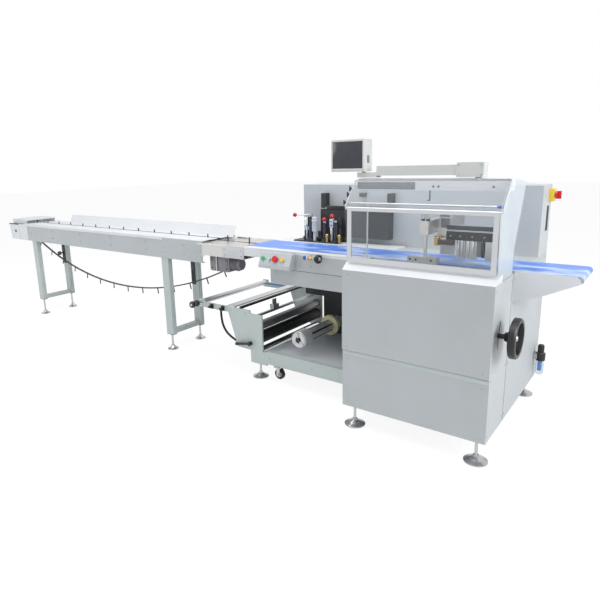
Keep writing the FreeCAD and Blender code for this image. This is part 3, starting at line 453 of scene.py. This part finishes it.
def lathe(name, finish, base, axis, rings, sides=28, body="body"):
    # a disc extruded and resized ring by ring; rings are (distance along the axis, radius)
    bpy.ops.object.select_all(action="DESELECT")
    start, run = place(*base), Vector(axis).normalized()
    along, radius = rings[0]
    aim = run.to_track_quat("Z", "Y").to_euler()
    bpy.ops.mesh.primitive_circle_add(vertices=sides, radius=radius / 1000, fill_type="NGON",
                                      location=start + run * along / 1000, rotation=aim)
    bpy.ops.object.transform_apply(location=True, rotation=True, scale=True)
    bpy.ops.object.mode_set(mode="EDIT")
    bpy.ops.mesh.select_mode(type="FACE")
    bpy.ops.mesh.select_all(action="SELECT")
    for nextAlong, nextRadius in rings[1:]:
        step = run * (nextAlong - along) / 1000
        bpy.ops.mesh.extrude_region_move(TRANSFORM_OT_translate={"value": tuple(step)})
        grow = nextRadius / radius
        bpy.ops.transform.resize(value=(grow, grow, grow),
                                 center_override=tuple(start + run * nextAlong / 1000))
        along, radius = nextAlong, nextRadius
    bpy.ops.mesh.select_all(action="SELECT")
    bpy.ops.mesh.remove_doubles(threshold=0.000001)
    bpy.ops.mesh.normals_make_consistent(inside=False)
    bpy.ops.object.mode_set(mode="OBJECT")
    return finishPiece(name, finish, body)


def ringPiece(name, finish, centre, axis, major, minor, body="body"):
    bpy.ops.object.select_all(action="DESELECT")
    turned = Vector(axis).to_track_quat("Z", "Y").to_euler()
    bpy.ops.mesh.primitive_torus_add(major_radius=major / 1000, minor_radius=minor / 1000, major_segments=40,
                                     minor_segments=8, location=place(*centre), rotation=turned)
    bpy.ops.object.mode_set(mode="EDIT")
    bpy.ops.mesh.select_all(action="SELECT")
    bpy.ops.mesh.normals_make_consistent(inside=False)
    bpy.ops.object.mode_set(mode="OBJECT")
    return finishPiece(name, finish, body)


def copiesOf(first, body, moves):
    # more of one piece, each with its own mesh; moves are matrices
    for number, move in enumerate(moves, 2):
        twin = first.copy()
        twin.data = first.data.copy()
        twin.name = first.name + "." + str(number)
        twin.data.transform(move)
        bpy.context.scene.collection.objects.link(twin)
        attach(twin, body)


def bolts(name, finish, axis, radius, height, points, sides=6, body="body"):
    # a bolt head with a sunk middle, copied to every point
    out = Vector(axis).normalized()
    rings = [(0, radius), (height * 0.75, radius), (height, radius * 0.86), (height, radius * 0.5),
             (height * 0.55, radius * 0.45)]
    first = lathe(name, finish, points[0], axis, rings, sides, body)
    moves = [Matrix.Translation(place(*point) - place(*points[0])) for point in points[1:]]
    copiesOf(first, body, moves)


def outlinePlate(name, finish, left, right, points, body="body"):
    # a flat plate across the line, cut to (y, z) corners
    bpy.ops.object.select_all(action="DESELECT")
    bpy.ops.mesh.primitive_circle_add(vertices=len(points), radius=0.1, fill_type="NGON")
    piece = bpy.context.object
    for vertex, (y, z) in zip(piece.data.vertices, points):
        vertex.co = place(left, y, z)
    bpy.ops.object.mode_set(mode="EDIT")
    bpy.ops.mesh.select_all(action="SELECT")
    bpy.ops.mesh.extrude_region_move(TRANSFORM_OT_translate={"value": ((right - left) / 1000, 0.0, 0.0)})
    bpy.ops.mesh.select_all(action="SELECT")
    bpy.ops.mesh.normals_make_consistent(inside=False)
    bpy.ops.object.mode_set(mode="OBJECT")
    return finishPiece(name, finish, body)


# infeed
infeedTrim = {
    "boltX": (394, 844, 1300, 1757, 2196),
    "boltZ": (867, 803),
    "boltRadius": 6.5,
    "legBolts": ((-52, 872), (-64, 825), (2, 822), (57, 858), (88, 824), (1974, 840), (1944, 799),
                 (2002, 802), (2304, 820)),
    "guideZ": 915.0,
    "bedScrewX": (60, 460, 860, 1260, 1660),
    "guideScrewX": (420, 860, 1300, 1740, 2180),
}


def dressInfeed():
    railLow = nodeBox("infeed_rails")[0]
    tailLow = nodeBox("tail_block")[0]
    front = railLow[1]
    spots = [(x, front, z) for z in infeedTrim["boltZ"] for x in infeedTrim["boltX"]]
    bolts("panelBolt", steel, (0, -1, 0), infeedTrim["boltRadius"], 4.5, spots)
    bolts("legBolt", steel, (0, -1, 0), 5.5, 4.0, [(x, front, z) for x, z in infeedTrim["legBolts"]])
    # painted shadow: a dark line under the tail block's top lip
    block("tailLipShadow", seamAndShadowDark, (tailLow[0] + 1, front - 4.2, 901), (railLow[0] - 1, front - 2.1, 909), 0.4)
    block("tailSeam", seamAndShadowDark, (railLow[0] - 1.2, front - 2.4, 752),
          (railLow[0] + 0.6, front + 0.4, 905), 0.2)
    bolts("bedScrew", steel, (0, 0, 1), 4.5, 1.6,
          [(x, 96, infeedTrim["guideZ"]) for x in infeedTrim["bedScrewX"]], 12)
    bolts("guideScrew", steel, (0, 0, 1), 4.5, 1.6,
          [(x, 244, infeedTrim["guideZ"]) for x in infeedTrim["guideScrewX"]], 12)
    legLow, legHigh = nodeBox("infeed_legs")
    for number, (x, bottom) in enumerate(((25, 155), (1965, 128))):
        for side, y in (("Front", legLow[1] + 20), ("Rear", legHigh[1] - 20)):
            tag = side + str(number + 1)
            block("legCap" + tag, plasticBlack, (x - 37, y - 19.6, bottom - 4),
                  (x + 37, y + 19.6, bottom - 0.1), 1.0)
            lathe("legNut" + tag, steel, (x, y, bottom - 16), (0, 0, 1),
                  [(0, 11), (1, 13), (10, 13), (11, 11)], 6)


dressInfeed()
print("infeed done")


# transfer trough and gearmotor
motorTrim = {"ribs": 6, "ribStep": 9.0, "ribThick": 2.6, "chainX": 2486.0, "links": 9}


def dressTransfer():
    low, high = nodeBox("transfer_trough")
    front = low[1]
    block("troughRim", stainless, (low[0], front - 3, 899), (high[0], front, 905.5), 0.8)
    block("joinPanel", panelLight, (2642, front - 3.4, 826), (high[0] - 1, front - 0.2, 899), 0.8)
    bolts("joinBolt", steel, (0, -1, 0), 5.0, 3.5,
          [(x, front - 3.3, z) for x in (2660, 2812) for z in (842, 882)])
    gearLow, gearHigh = nodeBox("gearmotor")
    end = [v.co for v in nodes["gearmotor"].data.vertices if v.co.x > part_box("gearmotor")[1][0] - 0.0005]
    middle = inMillimetres(sum(end, Vector()) / len(end))
    for number in range(motorTrim["ribs"]):
        x = 2604 + number * motorTrim["ribStep"]
        lathe("motorRib" + str(number + 1), housingPaint, (x, middle[1], middle[2]), (1, 0, 0),
              [(0, 46.5), (0.4, 49), (motorTrim["ribThick"], 49), (motorTrim["ribThick"] + 0.4, 46.5)], 36)
    lathe("motorEnd", housingPaint, (gearHigh[0], middle[1], middle[2]), (1, 0, 0),
          [(0, 36), (3, 34), (4, 20)], 36)
    block("gearCover", housingPaint, (2426, gearLow[1] - 3.5, 704), (2586, gearLow[1] - 0.2, 786), 2.0)
    spots = [(x, gearLow[1] - 3.4, z) for x in (2436, 2576) for z in (714, 776)]
    bolts("gearBolt", darkSteel, (0, -1, 0), 4.5, 3.0, spots)
    first = block("driveLink", steel, (motorTrim["chainX"] - 6, gearLow[1] - 12, 690),
                  (motorTrim["chainX"] + 6, gearLow[1] - 4, 701), 2.4)
    moves = [Matrix.Translation((0, 0, 0.0125 * step)) for step in range(1, motorTrim["links"])]
    copiesOf(first, "body", moves)


dressTransfer()
print("transfer done")


# middle deck, buttons and crank
buttonTrim = {"lean": (0.0, -0.894, 0.447), "face": (-129.0, 858.0),
              "bezels": {"green": (3042, 13), "pale": (3094, 11), "stop": (3141, 20), "yellow": (3194, 13)}}


def dressDeck():
    deckLow, deckHigh = nodeBox("middle_deck")
    front = -80.0
    block("deckSeam", seamAndShadowDark, (deckLow[0] + 2, front - 0.8, 789), (deckHigh[0], front + 0.2, 791), 0.2)
    bolts("deckBolt", steel, (0, -1, 0), 6.0, 4.0,
          [(3293, front, 829), (3372, front, 829), (3600, front, 760), (3100, front, 760)])
    for name, (x, radius) in buttonTrim["bezels"].items():
        ringPiece(name + "Bezel", steel, (x, *buttonTrim["face"]), buttonTrim["lean"], radius + 3.2, 1.8)
    bolts("boxScrew", steel, (0, -1, 0), 3.0, 1.5, [(x, -146, 808) for x in (3022, 3244)], 12)
    crankLow, crankHigh = nodeBox("hand_crank")
    crankY, crankZ = -118.0, 887.0
    lathe("crankCap", blueCap, (crankLow[0] - 5, crankY, crankZ), (1, 0, 0),
          [(0, 9), (2, 12.5), (13.5, 12.5), (14, 9)], 24, "crank")
    lathe("crankCollar", brass, (3382, crankY, crankZ), (1, 0, 0), [(0, 9), (2, 12), (26, 12), (28, 9)],
          24, "crank")
    ringPiece("crankRim", plasticBlack, (3448, crankY, crankZ), (1, 0, 0), 23.5, 4.5, "crank")
    lathe("crankHub", steel, (crankHigh[0], crankY, crankZ), (1, 0, 0), [(0, 12), (2.5, 11), (3.5, 6)],
          24, "crank")


dressDeck()
print("deck done")


# film unwind
unwindTrim = {"shaft": (3262.0, 335.0), "chuckFace": -75.0, "tube": 41.0, "slots": 6}


def dressUnwind():
    front = -100.0
    spots = [(x, front, 462) for x in (2500, 2590, 2700, 2840)]
    bolts("armBolt", steel, (0, -1, 0), 6.5, 4.5, spots)
    for number, x in enumerate((2534, 2640)):
        block("armClamp" + str(number + 1), plasticBlack, (x - 11, front - 16, 446),
              (x + 11, front - 0.3, 480), 2.0)
        lathe("clampScrew" + str(number + 1), plasticBlack, (x, front - 16, 463), (0, -1, 0),
              [(0, 6), (12, 9), (20, 9), (22, 7)], 16)
    for number, (y, grip) in enumerate(((-206, 23), (-162, 21))):
        lathe("rollerKnob" + str(number + 1), plasticBlack, (2430, y - 1, 480), (0, 1, 0),
              [(0, grip - 2), (4.5, grip + 1.2), (19, grip + 1.2), (26, grip - 7)], 20, "roller_outer")
    block("thinBar", darkSteel, (2790.5, front - 1, 481.8), (2809.5, 653, 497.5), 1.2)
    block("armEdge", beltBlue, (2455, 636.4, 466), (2671, 639.7, 476), 0.6)
    block("sensorFace", plasticBlack, (2882, 124, 447), (2883.4, 178, 471), 0.4)
    bolts("sensorScrew", steel, (0, 0, 1), 3.0, 2.0, [(2890, y, 476) for y in (126, 176)], 12)
    x, z = unwindTrim["shaft"]
    face = unwindTrim["chuckFace"]
    lathe("chuckCore", darkSteel, (x, face + 9.5, z), (0, -1, 0),
          [(0, 21), (5, 21), (7, 12), (13, 12), (14, 9)], 28, "spindle")
    jaw = block("chuckJaw", steel, (x - 6, face - 6, z + 16), (x + 6, face + 0.2, z + 48), 1.2, "spindle")
    hub = place(x, 0, z)
    third = [Matrix.Translation(hub) @ Matrix.Rotation(math.radians(turn), 4,
                                                       "Y") @ Matrix.Translation(-hub) for turn in (120, 240)]
    copiesOf(jaw, "spindle", third)
    ringPiece("chuckGroove", darkSteel, (x, face + 0.2, z), (0, 1, 0), 51.5, 0.9, "spindle")
    slot = block("tubeSlot", plasticBlack, (x - 5, 30, z + 39), (x + 5, 290, z + 41.6), 0.6, "spindle")
    step = 360.0 / unwindTrim["slots"]
    rest = [Matrix.Translation(hub) @ Matrix.Rotation(math.radians(step * turn), 4,
                                                      "Y") @ Matrix.Translation(-hub)
            for turn in range(1, unwindTrim["slots"])]
    copiesOf(slot, "spindle", rest)
    ringPiece("coreLine", plasticBlack, (x, 306, z), (0, 1, 0), 69.8, 0.9, "spindle")
    lathe("coreRim", coreCard, (x, 299.2, z), (0, 1, 0), [(0, 64), (0.9, 68)], 40, "spindle")
    wheelLow, wheelHigh = nodeBox("castor_wheel")
    middleX, middleZ = (wheelLow[0] + wheelHigh[0]) / 2, (wheelLow[2] + wheelHigh[2]) / 2
    lathe("castorHub", panelLight, (middleX, wheelLow[1] + 0.2, middleZ), (0, -1, 0),
          [(0, 22), (1.6, 20), (1.6, 11), (2.2, 9)], 28, "castor")
    lathe("castorNut", steel, (middleX, wheelLow[1] - 10, middleZ), (0, -1, 0), [(0, 9), (5, 9), (6, 7)],
          6, "fork")
    block("trayTop", paintTray, (3084, -58, 215.8), (3742, 655, 217.4), 0.6)
    bolts("baseBolt", steel, (0, -1, 0), 5.5, 4.0, [(x, front, 172) for x in (3040, 3380, 3700)])


dressUnwind()
print("unwind done")


# main cabinet, handwheel side and rear cabinet
cabinetTrim = {
    "frontScrewX": (3775, 4485),
    "scaleRing": 89.0,
    "darkArc": ((-215, 707), (-229, 663), (-236, 620), (-239, 577)),
}


def dressCabinet():
    low, high = nodeBox("main_cabinet")
    front, right = low[1], high[0]
    # painted shadow: a greenish band on the set-back lower front panel, under the upper panel's overhang
    block("kickShadowBand", paintGreen, (low[0] + 0.6, front + 6.4, 426), (right - 0.6, front + 8.3, 449), 0.5)
    spots = [(x, front, z) for x in cabinetTrim["frontScrewX"] for z in (478, 872)]
    spots += [(x, front + 8, z) for x in cabinetTrim["frontScrewX"] for z in (150, 404)]
    bolts("cabinetScrew", steel, (0, -1, 0), 5.0, 2.2, spots, 12)
    block("sideSeam", seamAndShadowDark, (right - 0.4, -46, 128), (right + 0.7, -44.4, 893), 0.2)
    sideSpots = [(right, y, z) for y in (-318, -66, -24, 690) for z in (160, 440, 870)]
    bolts("sideScrew", steel, (1, 0, 0), 5.0, 2.2, sideSpots, 12)
    ringPiece("scaleRing", panelLight, (right + 0.2, -232, 540), (1, 0, 0), cabinetTrim["scaleRing"], 1.3)
    # thin black bars in an arc on the end panel beside the handwheel
    arc = cabinetTrim["darkArc"]
    for number, (start, end) in enumerate(zip(arc, arc[1:])):
        slantBar("darkArc" + str(number + 1), plasticBlack, right - 0.3, right + 1.6, start, end, 5.0)
    wheelHigh = nodeBox("handwheel")[1]
    lathe("wheelCap", steel, (wheelHigh[0] - 20, -247, 645), (1, 0, 0),
          [(0, 14), (8, 14), (11, 11), (12, 5)], 24, "wheel")
    block("ventFrame", plasticBlack, (right - 0.2, 614, 1028), (right + 2.0, 656, 1172), 0.8)
    rib = block("ventRib", plasticBlack, (right + 1.8, 618, 1034), (right + 5.0, 652, 1039), 0.8)
    copiesOf(rib, "body", [Matrix.Translation((0, 0, 0.0115 * step)) for step in range(1, 12)])
    rearHigh = nodeBox("rear_cabinet")[1]
    for number, x in enumerate((3345, 3743, 4130)):
        block("rearSeam" + str(number + 1), seamAndShadowDark, (x - 1, rearHigh[1] - 0.3, 900),
              (x + 1, rearHigh[1] + 0.6, 1284), 0.2)
    rearSpots = [(x, rearHigh[1], z) for x in (2965, 3317, 3373, 3715, 3771, 4102, 4158,
                                               4489) for z in (925, 1262)]
    bolts("rearScrew", steel, (0, 1, 0), 5.0, 2.2, rearSpots, 12)
    bolts("ledgeScrew", steel, (0, 0, 1), 4.0, 1.6, [(x, -262, 930) for x in (3790, 4130, 4470)], 12)
    filterLow, filterHigh = nodeBox("air_filter")
    x, y = right + 38, (filterLow[1] + filterHigh[1]) / 2
    bowl = lathe("filterBowl", bowlClear, (x, y, 164), (0, 0, 1), [(0, 12), (8, 20), (20, 23), (92, 23)], 32)
    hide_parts("air_filter")
    lathe("filterCore", blueCap, (x, y, 186), (0, 0, 1), [(0, 8), (4, 12), (60, 12), (66, 8)], 24)
    lathe("filterBody", plasticBlack, (x, y, 254), (0, 0, 1), [(0, 25), (2, 27), (44, 27), (48, 23)], 32)
    lathe("filterKnob", plasticBlack, (x, y, 302), (0, 0, 1),
          [(0, 15), (4, 18), (40, 18), (48, 15), (50, 8)], 18)
    block("filterBracket", steel, (right, y - 22, 262), (x, y + 22, 296), 1.5)
    ringPiece("filterCollar", brass, (x, y, 300.5), (0, 0, 1), 20, 2.4)


dressCabinet()
print("cabinet done")


# guard hood and what shows inside it
hoodTrim = {"highlightWide": 13.0, "bend": (-318.0, 1222.0), "top": (-200.0, 1355.0),
            "wings": ((-243, 1306), (-268, 1278), (-303, 1240))}


def dressHood():
    cabLow, cabHigh = nodeBox("main_cabinet")
    left, right = cabLow[0], cabHigh[0]
    bend, top = hoodTrim["bend"], hoodTrim["top"]
    run = math.hypot(top[0] - bend[0], top[1] - bend[1])
    inY, inZ = (top[1] - bend[1]) / run * 7.5, -(top[0] - bend[0]) / run * 7.5
    start, end = (bend[0] + inY + 2, bend[1] + inZ + 2), (top[0] + inY - 2, top[1] + inZ - 2)
    # light strips along the clear sheets' sloping edges: painted edge highlights of the sheets
    slantBar("leftEdgeHighlight", panelLight, left - 2.6, left + 0.2, start, end, hoodTrim["highlightWide"])
    slantBar("rightEdgeHighlight", panelLight, right - 0.2, right + 2.6, start, end, hoodTrim["highlightWide"])
    # a light strip on the cheek's front edge: painted edge highlight
    block("cheekEdgeHighlight", panelLight, (left - 1.2, -75, 897), (left + 6.2, -69.5, 1292), 0.6)
    for number, (y, z) in enumerate(hoodTrim["wings"]):
        wing = "wing" + str(number + 1)
        lathe(wing + "Hub", plasticBlack, (left - 2.4, y, z), (-1, 0, 0),
              [(0, 6), (3, 8), (9, 8), (12, 5)], 14)
        block(wing + "Bar", plasticBlack, (left - 16, y - 3, z - 13), (left - 9, y + 3, z + 13), 2.0)
    lathe("stayEnd", blueCap, (right - 32, -280, 1236), (1, 0, 0),
          [(0, 5.2), (1, 6.6), (25, 6.6), (26, 5.2)], 20)
    outline = [(-296, 932), (-316, 1200), (-316, 1221), (-199, 1353), (99, 1330), (-46, 1011), (-46, 897),
               (-236, 897), (-236, 930)]
    outlinePlate("cheekFilm", hoodMilky, right - 8.0, right - 6.4, outline[::-1])
    beamLow = nodeBox("top_beam")[0]
    # painted shade: a mid-grey band on the top beam's front, in its recess under the roof edge
    block("beamRecessShade", greyAndRecessShade, (beamLow[0] + 2, beamLow[1] - 2.4, 1303),
          (4068, beamLow[1] - 0.2, 1338), 0.6)
    bolts("beamBolt", darkSteel, (0, -1, 0), 5.0, 3.0, [(x, beamLow[1], 1318) for x in (4160, 4186, 4440)])
    rod("hookStem", plasticBlack, (4127, -150, 1300), (4128, -150, 1247), 3.0, 0.4, 12)
    rod("hookTip", plasticBlack, (4128, -150, 1249), (4128, -176, 1249), 3.0, 0.4, 12)


dressHood()
print("hood done")

sealTrim = {"jawFront": 0.0, "plateTop": 1090.0}


def dressSeal():
    face = sealTrim["jawFront"]
    top = sealTrim["plateTop"]
    block("jawGuard", darkSteel, (4168, face - 5, top), (4402, face + 4, top + 22), 0.8)
    block("jawStrip", plasticBlack, (4166.5, face - 4.5, 1037), (4429.5, face - 0.2, 1081), 0.8)
    block("jawEdge", panelLight, (4166, face - 8.2, 1082.5), (4430, face - 5.8, 1089.5), 0.5)
    bolts("jawBolt", steel, (0, -1, 0), 4.0, 3.0,
          [(x, face - 4.4, 1059) for x in (4190, 4240, 4300, 4360, 4410)])
    lathe("oilBottle", hoodMilky, (4402, 30, top), (0, 0, 1),
          [(0, 12), (30, 14), (48, 9), (56, 9), (58, 13), (74, 13), (76, 8)], 24)
    lathe("brassSleeve", brass, (4112, 22, 1000), (0, 0, 1), [(0, 14), (4, 18), (44, 18), (48, 12)], 24)
    block("heaterBox", brownBox, (4130, face - 26, 1012), (4214, face - 4.8, 1036), 2.0)
    block("heaterPlate", panelLight, (4134, face + 6, 958), (4212, face + 9, 1035.8), 0.6)
    for number, x in enumerate((4230, 4248, 4280, 4304)):
        rod("guidePin" + str(number + 1), chrome, (x, face + 6, 950), (x, face + 6, 1036), 4.5, 0.5, 16)
    block("greyShim", greyAndRecessShade, (4324, face + 6, 957), (4344, face + 44, 1036), 0.8)
    block("strap", plasticBlack, (4348, face + 2, 953), (4358, face + 44, 1036), 2.0)
    block("endShim", boxBlack, (4405, face + 2, 955), (4419, face + 44, 1036), 0.8)
    footFront = -69.0
    bolts("footBolt", darkSteel, (0, -1, 0), 6.0, 4.0, [(x, footFront, 930) for x in (4000, 4032, 4115)])
    for number, x in enumerate((4058, 4084)):
        tag = str(number + 1)
        block("relayFoot" + tag, plasticBlack, (x - 3, -70, 1136), (x + 11, -48, 1146), 1.0)
        block("relayCase" + tag, hoodMilky, (x - 5, -72, 1146), (x + 13, -46, 1178), 1.5)
    block("coolerStand", greyAndRecessShade, (4112, 60, top), (4154, 88, 1138), 1.0)
    block("coolerBase", panelLight, (4104, 56, 1138), (4162, 96, 1146), 0.8)
    fin = block("coolerFin", panelLight, (4105, 57, 1146), (4107.4, 95, 1176), 0.5)
    copiesOf(fin, "body", [Matrix.Translation((0.0078 * step, 0, 0)) for step in range(1, 8)])


dressSeal()
print("seal unit done")


# fin-seal unit, its levers and the back wall
leverTrim = {
    "left": ((3085, 352, 1078), (-98, -52, 0)),
    "middle": ((3200, 352, 1034), (27, -52, 22)),
    "right": ((3285, 352, 1040), (3, -52, 40)),
    "ball": 14.5,
}


def makeLever(side):
    (x, y, z), reach = leverTrim[side]
    body = "lever_" + side
    start = (x, y, z + 14)
    end = tuple(a + b for a, b in zip(start, reach))
    stick = rod(side + "Stick", steel, start, end, 4.4, 0.4, 16, body)
    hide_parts(side + "_lever")
    lathe(side + "Hub", steel, (x, y, z + 6), (0, 0, 1), [(0, 10), (1.5, 12), (14, 12), (16, 9)], 24, body)
    radius = leverTrim["ball"]
    low = tuple(value - (radius if axis == 2 else 0.0) for axis, value in enumerate(end))
    rings = [(radius * (1 - math.cos(math.radians(a))),
              max(0.4, radius * math.sin(math.radians(a)))) for a in range(6, 180, 14)]
    lathe(side + "Ball", redGloss, low, (0, 0, 1), rings, 24, body)


def dressFinSeal():
    for side in ("left", "middle", "right"):
        makeLever(side)
    foot = 914.0
    block("sensorHead", chrome, (3040, 340, 1011), (3066, 362, 1076), 2.0)
    rod("sensorPost", steel, (3053, 351, foot), (3053, 351, 1012), 7.0)
    lathe("oilCup", panelLight, (3121, 342, foot), (0, 0, 1),
          [(0, 9), (64, 9), (66, 18), (160, 18), (164, 14)], 28)
    ringPiece("oilCupRing", paintWhite, (3121, 342, 1052), (0, 0, 1), 18.2, 3.0)
    block("holePlate", paintWhite, (3239, 346, 1011), (3268, 350, 1069), 1.2)
    bolts("holePlateEye", seamAndShadowDark, (0, -1, 0), 5.0, 0.8, [(3253, 346, 1026), (3253, 346, 1053)], 16)
    block("holePlateLeg", steel, (3246, 347, foot), (3262, 350.5, 1012), 0.6)
    block("reelArm", plasticBlack, (3304, 354, 1005), (3330, 374, 1086), 9.0)
    block("reelArmLeg", darkSteel, (3308, 357, foot), (3322, 370, 1007), 1.0)
    for number, x in enumerate((3226, 3322)):
        lathe("brassKnob" + str(number + 1), brass, (x, 336, foot), (0, 0, 1),
              [(0, 9), (30, 9), (34, 12), (50, 12), (54, 8)], 24)
    block("wallStrip", plasticBlack, (3176, 409, 1126.5), (3318, 415.6, 1152), 1.0)
    rod("airPipe", panelLight, (3160, 424, 1132), (3610, 424, 1132), 5.0)
    block("wallRelay", boxBlack, (3408, 446, 1213), (3449, 486, 1238), 1.5)


dressFinSeal()
print("fin seal done")


# operator panel
panelTrim = {"rim": 10.0, "caseBottom": 1392.0}


def dressPanel():
    low, high = nodeBox("panel_case")
    left, right, front, bottom, top = low[0], high[0], low[1], panelTrim["caseBottom"], high[2]
    rim = panelTrim["rim"]
    block("screen", screenGlass, (left + rim, front - 0.9, bottom + rim + 6),
          (right - rim, front + 0.3, top - rim), 0.4, "panel")
    block("screenSide1", armPaint, (left + 2, front - 2.6, bottom + 2),
          (left + rim, front + 0.2, top - 2), 0.7, "panel")
    block("screenSide2", armPaint, (right - rim, front - 2.6, bottom + 2),
          (right - 2, front + 0.2, top - 2), 0.7, "panel")
    block("screenLow", armPaint, (left + rim, front - 2.6, bottom + 2),
          (right - rim, front + 0.2, bottom + rim + 6), 0.7, "panel")
    block("screenTop", armPaint, (left + rim, front - 2.6, top - rim),
          (right - rim, front + 0.2, top - 2), 0.7, "panel")
    block("latch", greyAndRecessShade, (right, -168, 1436), (right + 5, -152, 1474), 1.2, "panel")
    bolts("armScrew", steel, (0, -1, 0), 4.0, 3.0, [(x, -186, z) for x in (4276, 4378) for z in (1372, 1417)])

dressPanel()
print("panel done")

bpy.context.view_layer.update()
